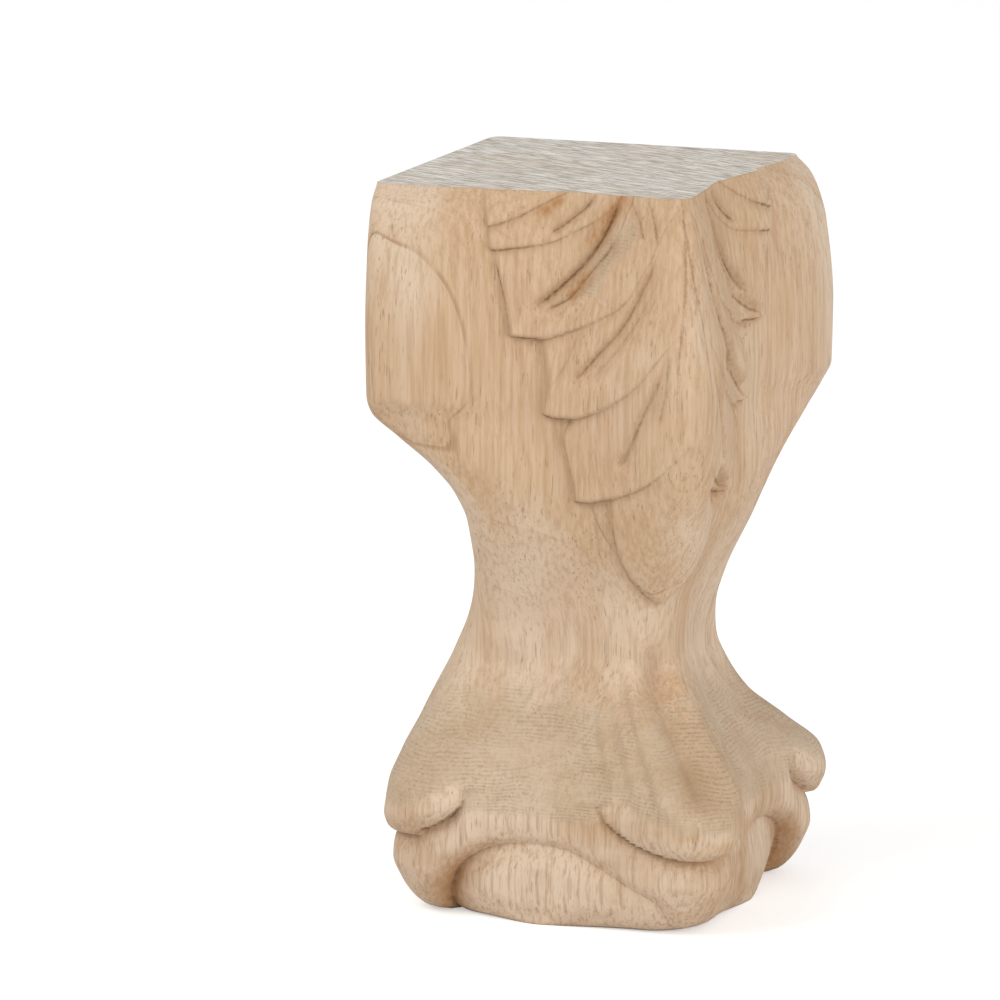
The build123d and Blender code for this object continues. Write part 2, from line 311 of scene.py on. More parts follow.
def curve(stations, at):
    """A smooth curve through the stations that never overshoots them."""
    x = np.array([s[0] for s in stations], float)
    y = np.array([s[1] for s in stations], float)
    gap = np.diff(x)
    slope = np.diff(y) / gap
    product = slope[:-1] * slope[1:]
    total = np.where(product > 0, slope[:-1] + slope[1:], 1.0)
    tangent = np.concatenate([slope[:1], np.where(product > 0, 2 * product / total, 0.0), slope[-1:]])
    i = np.clip(np.searchsorted(x, at, side="right") - 1, 0, len(x) - 2)
    t = np.clip((at - x[i]) / gap[i], 0.0, 1.0)
    start = (1 + 2 * t) * (1 - t) ** 2 * y[i] + t * (1 - t) ** 2 * gap[i] * tangent[i]
    end = t * t * (3 - 2 * t) * y[i + 1] + t * t * (t - 1) * gap[i] * tangent[i + 1]
    return start + end


def columns():
    """The stretch of the outline and the share of the way along it for every column."""
    stretch, share = [], []
    for name, count in COLUMNS:
        t = np.arange(count) / count
        if name == FRONT_FACE:
            t = (1 - CROWDING) * t + CROWDING * t * (2 - t)
        stretch += [name] * count
        share += list(t)
    return np.array(stretch + [TIP]), np.array(share + [1.0])


def rows():
    """Heights of the rows, closer together where there is carving."""
    steps = np.array(ROW_STEPS, float)
    heights = [DRAWN_FLOOR]
    while heights[-1] < DRAWN_TOP:
        heights.append(heights[-1] + np.interp(heights[-1], steps[:, 0], steps[:, 1]))
    return np.interp(heights, [DRAWN_FLOOR, heights[-1]], [DRAWN_FLOOR, DRAWN_TOP])


Outline = namedtuple("Outline", "x y nx ny reach side_gap nose_gap heel_gap")


def outline(stretch, share, z, front, back, nose, ground, back_ground):
    """The half outline at every row, with the outward direction and the distances to the corners."""
    x, y, nx, ny = (np.zeros((len(z), len(stretch))) for _ in range(4))
    f, b, n, g, h = (v[:, None] for v in (front, back, nose, ground, back_ground))
    r, ear_width, rib_width = (curve(s, z)[:, None] for s in (CORNER_RADIUS, EAR_WIDTH, RIB_WIDTH))
    for name, _ in COLUMNS:
        at = stretch == name
        t = share[at][None, :]
        angle = math.pi / 2 * t
        if name == HEEL:
            dx, dy = -np.sin(math.pi / 4 + angle / 2), np.cos(math.pi / 4 + angle / 2)
            x[:, at], y[:, at] = r - b + r * dx, b - r + r * dy
        elif name == BACK_FACE:
            dx, dy = -1.0, 0.0
            along = (b - r) + t * (2 * r - f - b)
            lobes = 1 - smooth(0, SIDE_LOBE.reach, np.minimum(b - along, f + along) - r)
            x[:, at], y[:, at] = -h - (b - h) * lobes, along
        elif name == SIDE:
            dx, dy = -np.cos(angle), -np.sin(angle)
            x[:, at], y[:, at] = r - b + r * dx, r - f + r * dy
        elif name == FRONT_FACE:
            dx, dy = 0.0, -1.0
            along = (r - b) + t * (n - 2 * r + b)
            ear = 1 - smooth(EAR_FLAT * ear_width, ear_width, along - r + b)
            rib = (1 - smooth(0, rib_width, n - r - along)) * (1 - ear)
            x[:, at], y[:, at] = along, -g - (f - g) * ear - (n - g) * rib
        else:
            dx, dy = np.sin(angle / 2), -np.cos(angle / 2)
            x[:, at], y[:, at] = n - r + r * dx, r - n + r * dy
        nx[:, at], ny[:, at] = dx, dy
    on_front = (stretch == FRONT_FACE) | (stretch == TIP)
    on_back = (stretch == BACK_FACE) | (stretch == HEEL)
    tip_reach = np.where(stretch == TIP, n - r + r * share * math.pi / 4, x)
    reach = np.where(on_front, tip_reach, -FAR)
    side_gap = np.where(on_front, x + b, np.where(on_back, y + f, 0.0))
    nose_gap = np.where(on_front, np.maximum(n - tip_reach, 0.0), FAR)
    heel_gap = np.where(on_back, np.maximum(b - y, 0.0), FAR)
    return Outline(x, y, nx, ny, reach, side_gap, nose_gap, heel_gap)


def lobe_edge(lobe, gap):
    """Height of a lobe's lower edge at a distance from its corner."""
    return lobe.top - lobe.dip * np.sqrt(np.clip(1 - (gap / lobe.reach) ** 2, 0.0, 1.0))


def along_path(path, x, z):
    """For each point: the distance to a smooth path, the share of the way along it, and its side of it."""
    station = np.linspace(0, 1, len(path))
    t = np.linspace(0, 1, PATH_SAMPLES)
    px = curve(list(zip(station, [p[0] for p in path])), t)
    pz = curve(list(zip(station, [p[1] for p in path])), t)
    tx, tz = np.gradient(px), np.gradient(pz)
    best = np.full(x.shape, np.inf)
    where = np.zeros(x.shape, int)
    for i in range(PATH_SAMPLES):
        d = (x - px[i]) ** 2 + (z - pz[i]) ** 2
        closer = d < best
        best[closer] = d[closer]
        where[closer] = i
    side = tx[where] * (z - pz[where]) - tz[where] * (x - px[where])
    return np.sqrt(best), t[where], side


def across_curve(stations, along, value):
    """Signed distance of each point to a curve that gives the value by the place along it."""
    at = curve(stations, along)
    slope = (curve(stations, along + NUDGE) - at) / NUDGE
    return (value - at) / np.sqrt(1 + slope**2)


def nearest(lines):
    """The signed distance to the nearest of several lines, and how dark that line is."""
    cut, ink = lines[0]
    for distance, strength in lines[1:]:
        closer = np.abs(distance) < np.abs(cut)
        cut = np.where(closer, distance, cut)
        ink = np.where(closer, strength, ink)
    return np.clip(cut, -LINE_REACH, LINE_REACH), ink


def foot(stretch, share, z, zz):
    """The foot and the plain leg above it: lobes of the flared skirt over a block with rounded corners."""
    front, back, nose, ground = (curve(s, z) for s in (FRONT, BACK, NOSE, GROUND))
    back_ground = np.minimum(curve(BACK_GROUND, z), back)
    back_ground = np.where(z < BACK_GROUND[-1][0], back_ground, back)
    skirt = outline(stretch, share, z, front, back, nose, ground, back_ground)
    block_front, block_back = curve(BLOCK_FRONT, z), curve(BLOCK_BACK, z)
    block_ground = np.minimum(back_ground, np.maximum(block_back, BLOCK_GROUND))
    block = outline(stretch, share, z, block_front, block_back, block_front, ground, block_ground)
    lobes = [(FRONT_LOBE, skirt.nose_gap), (SIDE_LOBE, skirt.side_gap), (SIDE_LOBE, skirt.heel_gap)]
    edges = np.stack([lobe_edge(lobe, gap) for lobe, gap in lobes])
    slopes = (np.stack([lobe_edge(lobe, gap + NUDGE) for lobe, gap in lobes]) - edges) / NUDGE
    lowest = edges.argmin(axis=0)[None]
    edge = np.take_along_axis(edges, lowest, 0)[0]
    slope = np.take_along_axis(slopes, lowest, 0)[0]
    rise = np.clip((zz - edge) / LIP_RADIUS, 0.0, 1.0)
    cover = np.sqrt(1 - (1 - rise) ** 2)
    x = block.x + (skirt.x - block.x) * cover
    y = block.y + (skirt.y - block.y) * cover
    hang = np.clip(2 * (SIDE_LOBE.top - edge) / SIDE_LOBE.dip, 0.0, 1.0)
    recess = np.exp(-np.maximum(edge - zz, 0.0) / RECESS_FALL) * (zz < edge) * hang
    # A thin line of painted shade just under each lobe's lip
    under = (zz - edge + LINE_OFFSET) / np.sqrt(1 + slope**2)
    under_line_shade = LOBE_LINE_SHADE * hang * smooth(*LOBE_LINE_SHADE_FADE, zz)
    rim = (edge + RIM_ON_LOBE) * hang + RIM_TOP * (1 - hang)
    return skirt, x, y, rim, recess, (under, under_line_shade)


def arches(x, y, zz, stretch, front, back, panel_fall):
    """Depth of the arch's crease, steep on its rim and gentle on its panel, its line of painted shade, and
    its hollow end, where shade is painted.
    """
    on_back = (stretch == BACK_FACE) | (stretch == HEEL)
    middle = (front - back)[:, None] / 2
    across = np.where(on_back[None, :], -(y + middle), x)
    distance, share, side = along_path(ARCH, across, zz)
    on_panel = side < 0
    low = smooth(*ARCH_FADE, zz)
    fall = np.where(on_panel, panel_fall, curve(RIM_FALL, share))
    depth = curve(ARCH_DEPTH, share) * np.exp(-distance / fall) * low
    line = (np.where(on_panel, -distance, distance), curve(ARCH_LINE_SHADE, share) * low)
    hollow = hump(distance, np.where(on_panel, HOLLOW_ON_PANEL, HOLLOW_ON_RIM))
    return depth, line, hollow * smooth(*HOLLOW_FADE, share) * low


def leaflets(reach, zz):
    """Height of the leaflets, the painted shade under their edges, and the lines of painted shade along their
    edges and borders.

    The lines of neighbours have opposite signs, so that no false line shows where one gives way to the next.
    """
    plate, height, shade = (np.zeros(reach.shape) for _ in range(3))
    edges, borders = [], []
    for i, leaflet in enumerate(LEAFLETS):
        above = across_curve(leaflet.edge, reach, zz)
        beside = across_curve(leaflet.border, zz, reach)
        inside = smooth(-EDGE_SOFTNESS, EDGE_SOFTNESS, above)
        inside = inside * smooth(-BORDER_SOFTNESS, BORDER_SOFTNESS, beside)
        tip = leaflet.edge[0][0]
        low, high = leaflet.border[0][0], leaflet.border[-1][0]
        thin = 1 - LEAFLET_THINNING * smooth(tip, LEAFLET_ROOT, reach)
        height += leaflet.lift * thin * inside * np.exp(-np.maximum(above, 0.0) / LEAFLET_FALL)
        plate = np.maximum(plate, inside)
        ink = smooth(*EDGE_LINE_SHADE_START, reach - tip) * smooth(*EDGE_LINE_SHADE_END, reach)
        ink = ink * (1 - EDGE_LINE_SHADE_PALING * smooth(*EDGE_LINE_SHADE_PALE, reach - tip))
        edges.append(((-1) ** i * (above + LINE_OFFSET), ink))
        border_ink = smooth(*BORDER_LINE_SHADE_START, zz - low) * (1 - smooth(*BORDER_LINE_SHADE_END, zz - high))
        border_ink = border_ink * leaflet.border_ink
        borders.append((beside + LINE_OFFSET, border_ink))
        under_edge = hump(above + EDGE_SHADE_OFFSET, EDGE_SHADE_WIDTH) * ink
        by_border = hump(beside + BORDER_SHADE_OFFSET, BORDER_SHADE_WIDTH) * border_ink
        shade = np.maximum.reduce([shade, LEAFLET_SHADE * under_edge, LEAFLET_SHADE * by_border])
    return height + LEAF_THICKNESS * plate, shade, edges, borders


def gouges(reach, zz, cuts):
    """Depth of the gouges, the painted shade in them and the lines of painted shade along them, with signs as
    on the leaflets.
    """
    depth, shade = (np.zeros(reach.shape) for _ in range(2))
    lines = []
    for i, gouge in enumerate(cuts):
        distance, share, side = along_path(gouge.path, reach, zz)
        above = side > 0
        taper = smooth(*GOUGE_TIP, share) * (1 - smooth(*GOUGE_ROOT, share))
        depth += gouge.depth * hump(distance, np.where(above, gouge.above, gouge.below)) * taper
        wall = hump(distance, np.where(above, GOUGE_SHADE_ABOVE, GOUGE_SHADE_BELOW))
        shade = np.maximum(shade, GOUGE_SHADE * gouge.ink * wall * taper)
        lines.append(((-1) ** i * np.where(above, distance, -distance), gouge.ink * taper))
    return depth, shade, lines


def leaf(reach, zz, own_cuts):
    """Relief of the leaf above the ground, the painted shade in its hollows, and its lines of painted shade
    in the order of LINES.
    """
    height, edge_shade, edges, borders = leaflets(reach, zz)
    depth, gouge_shade, lines = gouges(reach, zz, GOUGES + own_cuts)
    midrib = curve(MIDRIB, zz) - reach
    depth = depth + MIDRIB_DEPTH * hump(midrib, MIDRIB_WIDTH) * smooth(*MIDRIB_START, zz)
    # A line of painted shade along the midrib
    borders = [(midrib, MIDRIB_LINE_SHADE * smooth(*MIDRIB_LINE_SHADE_START, zz))] + borders
    groups = (edges, lines[:len(GOUGES)], borders, lines[len(GOUGES):])
    return height - depth, np.maximum(edge_shade, gouge_shade), [nearest(group) for group in groups]


def patch(path, half_width, reach, zz):
    """A soft patch along a path on the leaf."""
    return hump(along_path(path, reach, zz)[0], half_width)


def toe(off_nose, nose, zz):
    """Lift of the ridges and the channel down the front of the toe, the channel's shade and its wall."""
    fan = off_nose * FAN_NOSE / nose
    down = smooth(*CHANNEL_END, zz) * smooth(*CHANNEL_START, zz)
    pocket = hump(zz - POCKET_HEIGHT, POCKET_LENGTH)
    groove = hump(fan, CHANNEL_WIDTH) * down
    ridge = hump(fan - RIDGE_OFFSET, RIDGE_WIDTH) * down * smooth(*RIDGE_FADE, zz)
    ripple = np.cos(2 * math.pi * (fan - RIDGE_OFFSET) / RIPPLE_STEP) * down * smooth(*RIPPLE_FADE, zz)
    ripple = ripple * smooth(*RIPPLE_START, fan) * (1 - smooth(*RIPPLE_END, fan))
    lift = RIDGE_HEIGHT * ridge + RIPPLE_HEIGHT * ripple
    lift -= (CHANNEL_DEPTH + POCKET_DEPTH * pocket) * groove
    wall = smooth(*WALL_START, fan) * (1 - smooth(*WALL_END, fan)) * down * smooth(*WALL_FADE, zz)
    return lift, groove * (CHANNEL_SHADE + POCKET_SHADE * pocket), wall


def carve(stretch, share, z, zz, is_left):
    """Points of half of the leg, with the marks that its colours follow."""
    skirt, x, y, rim, recess, under = foot(stretch, share, z, zz)
    panel_fall = PANEL_FALL_LEFT if is_left else PANEL_FALL_RIGHT
    crease, crease_line, hollow = arches(x, y, zz, stretch, curve(FRONT, z), curve(BACK, z), panel_fall)
    carved, leaf_shade, leaf_lines = leaf(skirt.reach, zz, VEINS if is_left else SCOOPS)
    in_leaf = smooth(*LEAF_START, zz)
    nose, radius = (curve(s, z)[:, None] for s in (NOSE, CORNER_RADIUS))
    toe_lift, toe_shade, toe_wall = toe(skirt.nose_gap - radius * (1 - math.pi / 4), nose, zz)
    lift = carved * in_leaf + toe_lift - crease - RECESS_DEPTH * recess

    # Brown shade painted in the recess under the lobes, more near the nose, along the arch's crease and in
    # its hollow end
    recess_brown_shade = recess * np.where(skirt.nose_gap < TOE_REACH, TOE_BROWN_SHADE, RECESS_BROWN_SHADE)
    crease_brown_shade = CREASE_BROWN_SHADE * np.exp(-np.abs(crease_line[0]) / CREASE_BROWN_SHADE_FALL) * crease_line[1]
    scorch_and_shade = np.maximum.reduce([recess_brown_shade, crease_brown_shade, HOLLOW_BROWN_SHADE * hollow])
    shade = np.maximum.reduce([leaf_shade * in_leaf, RECESS_SHADE * recess, toe_shade, HOLLOW_SHADE * hollow])
    tooled = np.clip((TOOLED_TOP - zz) / TOOLED_FADE, 0.0, 1.0) * smooth(*TOOLED_START, zz - rim)
    tone = smooth(*TONE_ACROSS_START, skirt.reach) * smooth(*TONE_UP_START, zz)
    tone = tone - TONE_FOOT * smooth(*TONE_FOOT_FADE, zz)
    hatch = RECESS_HATCH * recess
    if is_left:
        scorched = [patch(path, half_width, skirt.reach, zz) for path, half_width in SCORCHED]
        scorch_and_shade = np.maximum.reduce([scorch_and_shade] + scorched)
        tooled = np.maximum(tooled, patch(*ROUGHENED, skirt.reach, zz))
    else:
        hatch = np.maximum(hatch, toe_wall)
    marks = {"scorch_and_shade": scorch_and_shade, "shade": shade, "skirt": tooled, "tone": tone, "hatch": hatch}

    # Thin lines of painted shade: along the leaf's cuts above the foot, and under the lobes' lips and along
    # the arch's crease below
    on_leaf = zz > LINES_OF_LEAF
    foot_lines = {"edge": nearest([under]), "gouge": nearest([crease_line])}
    for name, (cut, ink) in zip(LINES, leaf_lines):
        foot_cut, foot_line_shade = foot_lines.get(name, (cut, np.zeros(zz.shape)))
        marks[name + "_cut"] = np.where(on_leaf, cut, foot_cut)
        marks[name + "_ink"] = np.where(on_leaf, ink * in_leaf, foot_line_shade)
    return x + skirt.nx * lift, y + skirt.ny * lift, marks


class Web:
    """Adds shader nodes: an input takes a number, a colour or another node's output."""

    def __init__(self, tree):
        self.tree = tree
        tree.nodes.clear()

    def add(self, kind, inputs, **settings):
        made = self.tree.nodes.new(kind)
        for name, value in settings.items():
            setattr(made, name, value)
        for socket, value in inputs.items():
            if isinstance(value, bpy.types.NodeSocket):
                self.tree.links.new(value, made.inputs[socket])
            else:
                made.inputs[socket].default_value = value
        return made

    def math(self, operation, first, second=0.0):
        return self.add("ShaderNodeMath", {0: first, 1: second}, operation=operation).outputs[0]

    def product(self, first, *others):
        for other in others:
            first = self.math("MULTIPLY", first, other)
        return first

    def mapped(self, place, scale, shift=(0.0, 0.0, 0.0), turn=0.0):
        inputs = {"Vector": place, "Scale": scale, "Location": shift, "Rotation": (0.0, 0.0, turn)}
        return self.add("ShaderNodeMapping", inputs).outputs[0]

    def millimetres(self):
        place = self.add("ShaderNodeTexCoord", {}).outputs["Object"]
        return self.mapped(place, (1 / MM, 1 / MM, 1 / MM))

    def noise(self, place, grain):
        place = self.mapped(place, grain.scale, grain.shift)
        inputs = {"Vector": place, "Scale": 1.0, "Detail": grain.detail, "Roughness": grain.roughness}
        return self.add("ShaderNodeTexNoise", inputs).outputs[0]

    def fade(self, value, start, end, low=0.0, high=1.0):
        inputs = {"Value": value, "From Min": start, "From Max": end, "To Min": low, "To Max": high}
        return self.add("ShaderNodeMapRange", inputs, interpolation_type="SMOOTHSTEP").outputs[0]

    def mark(self, name):
        return self.add("ShaderNodeAttribute", {}, attribute_name=name).outputs["Fac"]

    def tint(self, share, under, over):
        inputs = {0: share, 6: under, 7: over}
        return self.add("ShaderNodeMix", inputs, data_type="RGBA").outputs[2]

    def surface(self, colour, roughness, height, depth):
        bump = self.add("ShaderNodeBump", {"Height": height, "Strength": 1.0, "Distance": depth * MM})
        inputs = {"Base Color": colour, "Roughness": roughness, "Normal": bump.outputs[0]}
        shader = self.add("ShaderNodeBsdfPrincipled", {**inputs, "Specular IOR Level": SPECULAR})
        self.add("ShaderNodeOutputMaterial", {"Surface": shader.outputs[0]})


# Colours of the wood, and of the shade painted on it
PALE = (0.735, 0.575, 0.425, 1)
WARM = (0.60, 0.405, 0.245, 1)
PINK = (0.63, 0.425, 0.285, 1)
LINE = (0.40, 0.245, 0.135, 1)
PORE = (0.36, 0.225, 0.125, 1)
# Painted shade: the darkest brown is shade in the thin cuts; the scorch colour is scorched wood on the leaf
# and brown shade painted in the foot's recesses, crease and hollow; DUSK is dark fibre and painted shade.
CUT_SHADE_COLOUR = (0.25, 0.12, 0.045, 1)
SCORCH_AND_SHADE = (0.41, 0.19, 0.068, 1)
DUSK = (0.40, 0.255, 0.14, 1)
TOOLED = (0.515, 0.405, 0.28, 1)
SAWN_PALE = (0.97, 0.94, 0.88, 1)
SAWN_DARK = (0.54, 0.47, 0.385, 1)
SAW_MARK = (0.34, 0.285, 0.225, 1)
SPECULAR = 0.25

# A grain is noise with its cells per millimetre along x, y and z, its detail, its roughness and its shift.
# Levels are where a value starts and ends to count, and then what it counts for at the start and at the end.
Grain = namedtuple("Grain", "scale detail roughness shift", defaults=(2.0, 0.5, (0.0, 0.0, 0.0)))

# Broad tones
DRIFT = Grain((0.05, 0.05, 0.018), 3.0)
BLUSH = Grain((0.09, 0.09, 0.03), shift=(7.0, 3.0, 1.0))
TONE_PULL = 0.16
WARM_LEVELS = (0.40, 0.66)
PINK_LEVELS = (0.5, 0.72, 0.0, 0.5)

# Growth rings round a pith behind the leg, with lines that are fainter low down and on the right face
PITH = (-15.0, 40.0)
RING_GAP = 2.9
RING_START = 2.65
RING_WOBBLE = 2.0
RING_LEAN = 0.04
RING_LEVEL = 95.0
RING_WANDER = Grain((0.045, 0.045, 0.02))
RING_PATCHES = Grain((0.2, 0.2, 0.07))
RING_LINE = ((0.90, 0.965), (1.0, 0.98))
RING_LINE_CHANCE = (0.2, 0.9, 0.1, 1.0)
RING_LINE_PATCHES = (0.36, 0.6, 0.25, 1.0)
RING_LINE_BY_HEIGHT = (26.0, 48.0, 0.3, 1.0)
RING_LINE_BY_X = (16.0, 24.0, 1.0, 0.2)
RING_BAND_CHANCE = (0.0, 1.0, 0.05, 0.5)
RING_DARKNESS = 0.8
RING_DEPTH = 0.3

# Streaks, fibres and pores that run up the leg, and mottled wood below the waist
STREAKS = Grain((1.5, 1.5, 0.05), 3.0, 0.6)
STREAK_DARK_LEVELS = (0.46, 0.68)
STREAK_PALE_LEVELS = (0.52, 0.32, 0.0, 0.30)
STREAK_BY_HEIGHT = (26.0, 16.0, 0.34, 0.5)
FIBRES = Grain((6.0, 6.0, 0.22), 2.0, 0.6)
FIBRE_LEVELS = (0.5, 0.72, 0.0, 0.24)
FIBRE_HEIGHT = 0.35
MOTTLE = Grain((0.13, 0.13, 0.2), 3.0, shift=(3.0, 9.5, 6.0))
MOTTLE_DARK_LEVELS = (0.5, 0.7, 0.0, 0.3)
MOTTLE_PALE_LEVELS = (0.5, 0.3, 0.0, 0.7)
MOTTLE_BY_HEIGHT = (50.0, 36.0)
PORES = Grain((3.4, 3.4, 0.26), 1.0, 0.4)
PORE_LEVELS = (0.64, 0.74)
PORE_CROWDS = Grain((0.16, 0.16, 0.05), 1.0)
PORE_CROWD_LEVELS = (0.36, 0.62, 0.25, 1.0)
PORE_DARKNESS = 0.55
PORE_DEPTH = 0.5

# Tool marks: rows of dashes on the skirt and under its lobes
TOOL_STEP = 0.56
TOOL_STEP_LEVELS = (0.1, 0.9)
TOOL_WAVER = Grain((0.12, 0.12, 0.12), 1.0)
TOOL_WAVER_HEIGHT = 2.2
TOOL_DASHES = Grain((1.7, 1.7, 1.7))
TOOL_DASH_LEVELS = (0.36, 0.62)
TOOL_WEAR = Grain((0.14, 0.14, 0.2), shift=(2.0, 5.0, 0.0))
TOOL_WEAR_LEVELS = (0.35, 0.62, 0.3, 1.0)
TOOL_DARKNESS = (0.0, 1.0, 0.3, 0.55)
TOOL_DEPTH = 0.6
SKIRT_RAGS = Grain((0.35, 0.35, 0.2), 3.0)
SKIRT_RAG_LEVELS = (0.25, 0.75, -0.2, 0.2)
SKIRT_LEVELS = (0.22, 0.85)
SKIRT_DARKNESS = 0.45

# Painted shade, scorched wood, brown shade painted in the foot's hollows, and thin cut lines of painted shade
SHADE_DARKNESS = 0.9
SCORCH_AND_SHADE_GRAIN = Grain((1.3, 1.3, 0.5), 3.0)
SCORCH_AND_SHADE_LEVELS = (0.3, 0.62, 0.35, 1.0)
SCORCH_AND_SHADE_DARKNESS = 0.9
CUT_JITTER = Grain((1.6, 1.6, 1.6), 3.0)
CUT_JITTER_LEVELS = (0.3, 0.7, -0.08, 0.16)
CUT_PRESSURE = Grain((0.22, 0.22, 0.22))
CUT_PRESSURE_LEVELS = (0.36, 0.6, 0.45, 1.0)
CUT_LEVELS = (0.32, 0.05)
CUT_DARKNESS = 0.8
CUT_DEPTH = 0.8
WOOD_ROUGHNESS = (0.3, 0.7, 0.6, 0.78)
WOOD_RELIEF = 0.12

# Sawn top
SAW_ANGLE = math.radians(22)
SAW_STREAKS = Grain((0.07, 1.6, 1.0), 4.0, 0.7)
SAW_STREAK_LEVELS = (0.38, 0.64)
SAW_STREAK_HEIGHT = 0.6
SAW_SCRATCHES = Grain((0.22, 3.2, 1.0), 2.0, 0.6)
SAW_SCRATCH_DARK_LEVELS = (0.50, 0.61, 0.0, 0.8)
SAW_SCRATCH_PALE_LEVELS = (0.46, 0.34, 0.0, 0.8)
SAW_SCRATCH_HEIGHT = 0.5
SAW_WARMTH = Grain((0.06, 0.06, 0.06))
SAW_WARMTH_LEVELS = (0.42, 0.66, 0.0, 0.2)
SAW_SPECKS = Grain((2.4, 2.4, 2.4))
SAW_SPECK_LEVELS = (0.62, 0.75, 0.0, 0.4)
SAW_ROUGHNESS = (0.3, 0.7, 0.7, 0.85)
SAW_RELIEF = 0.25


def broad_tones(web, mm):
    """Pale wood that drifts to warm and pink."""
    drift = web.math("ADD", web.noise(mm, DRIFT), web.product(web.mark("tone"), TONE_PULL))
    colour = web.tint(web.fade(drift, *WARM_LEVELS), PALE, WARM)
    return web.tint(web.fade(web.noise(mm, BLUSH), *PINK_LEVELS), colour, PINK)


def growth_rings(web, mm, x, height):
    """The band of each growth ring, and the dark line where it ends."""
    around = web.mapped(mm, (1.0, 1.0, 0.0), shift=(-PITH[0] - AXIS.x, -PITH[1] - AXIS.y, 0.0))
    radius = web.add("ShaderNodeVectorMath", {0: around}, operation="LENGTH").outputs["Value"]
    wander = web.product(web.noise(mm, RING_WANDER), RING_WOBBLE)
    lean = web.product(web.math("SUBTRACT", RING_LEVEL, height), RING_LEAN)
    ring = web.math("ADD", web.math("ADD", radius, wander), web.math("ADD", lean, RING_START))
    ring = web.math("DIVIDE", ring, RING_GAP)
    phase = web.math("FRACT", ring)
    number = web.math("FLOOR", ring)
    chance = web.add("ShaderNodeTexWhiteNoise", {"W": number}, noise_dimensions="1D").outputs[0]
    line = web.product(
        *(web.fade(phase, *levels) for levels in RING_LINE),
        web.fade(chance, *RING_LINE_CHANCE),
        web.fade(web.noise(mm, RING_PATCHES), *RING_LINE_PATCHES),
        web.fade(height, *RING_LINE_BY_HEIGHT),
        web.fade(x, *RING_LINE_BY_X),
    )
    return web.product(phase, web.fade(chance, *RING_BAND_CHANCE)), line


def tool_marks(web, mm, height):
    """The rough skirt, and the tool marks on it and in the hatched hollows, with how dark they are."""
    ragged = web.fade(web.noise(mm, SKIRT_RAGS), *SKIRT_RAG_LEVELS)
    skirt = web.fade(web.math("ADD", web.mark("skirt"), ragged), *SKIRT_LEVELS)
    waver = web.product(web.noise(mm, TOOL_WAVER), TOOL_WAVER_HEIGHT)
    turns = web.product(web.math("ADD", height, waver), 2 * math.pi / TOOL_STEP)
    step = web.fade(web.math("SINE", turns), *TOOL_STEP_LEVELS)
    dashes = web.fade(web.noise(mm, TOOL_DASHES), *TOOL_DASH_LEVELS)
    worn = web.fade(web.noise(mm, TOOL_WEAR), *TOOL_WEAR_LEVELS)
    hatch = web.mark("hatch")
    tooled = web.product(web.product(step, dashes), web.math("MAXIMUM", web.product(skirt, worn), hatch))
    return skirt, tooled, web.fade(hatch, *TOOL_DARKNESS)


def cut_lines(web, mm):
    """Thin lines of painted shade along the cuts, uneven in width and in darkness."""
    jitter = web.fade(web.noise(mm, CUT_JITTER), *CUT_JITTER_LEVELS)
    shaded_cuts = 0.0
    for name in LINES:
        gap = web.math("ADD", web.math("ABSOLUTE", web.mark(name + "_cut")), jitter)
        shaded_cuts = web.math("MAXIMUM", shaded_cuts, web.product(web.fade(gap, *CUT_LEVELS), web.mark(name + "_ink")))
    return web.product(shaded_cuts, web.fade(web.noise(mm, CUT_PRESSURE), *CUT_PRESSURE_LEVELS))


